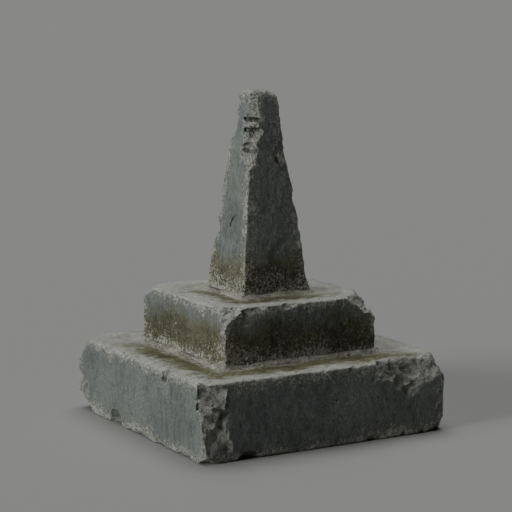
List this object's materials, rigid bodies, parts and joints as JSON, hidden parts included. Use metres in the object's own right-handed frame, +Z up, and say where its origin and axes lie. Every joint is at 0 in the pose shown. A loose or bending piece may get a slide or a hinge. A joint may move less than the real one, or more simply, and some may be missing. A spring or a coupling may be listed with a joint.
{
  "type": "stone obelisk on two steps",
  "caption": "Weathered stone obelisk: a broken, tapered square shaft with a rounded knob, standing on square steps, for a churchyard, garden or roadside.",
  "frame": {"origin": "middle of the base step's underside, on the ground", "axes": "+Z up along the shaft; -Y is the front; +X is to the right seen from the front"},
  "size_m": [1.224, 1.224, 1.494],
  "materials": {
    "base_stone": "weathered blue-grey stone, pitted, with pale worn edges",
    "step_stone": "weathered blue-grey stone, stained olive brown by algae from its foot up",
    "shaft_stone": "weathered blue-grey stone, pitted, algae at its foot",
    "lime_mortar": "crumbled pale lime mortar, stained olive"
  },
  "bodies": {
    "root": {"base_step": "base_stone", "upper_bed": "lime_mortar", "upper_step": "step_stone", "shaft_bed": "lime_mortar", "shaft": "shaft_stone"}
  },
  "joints": []
}
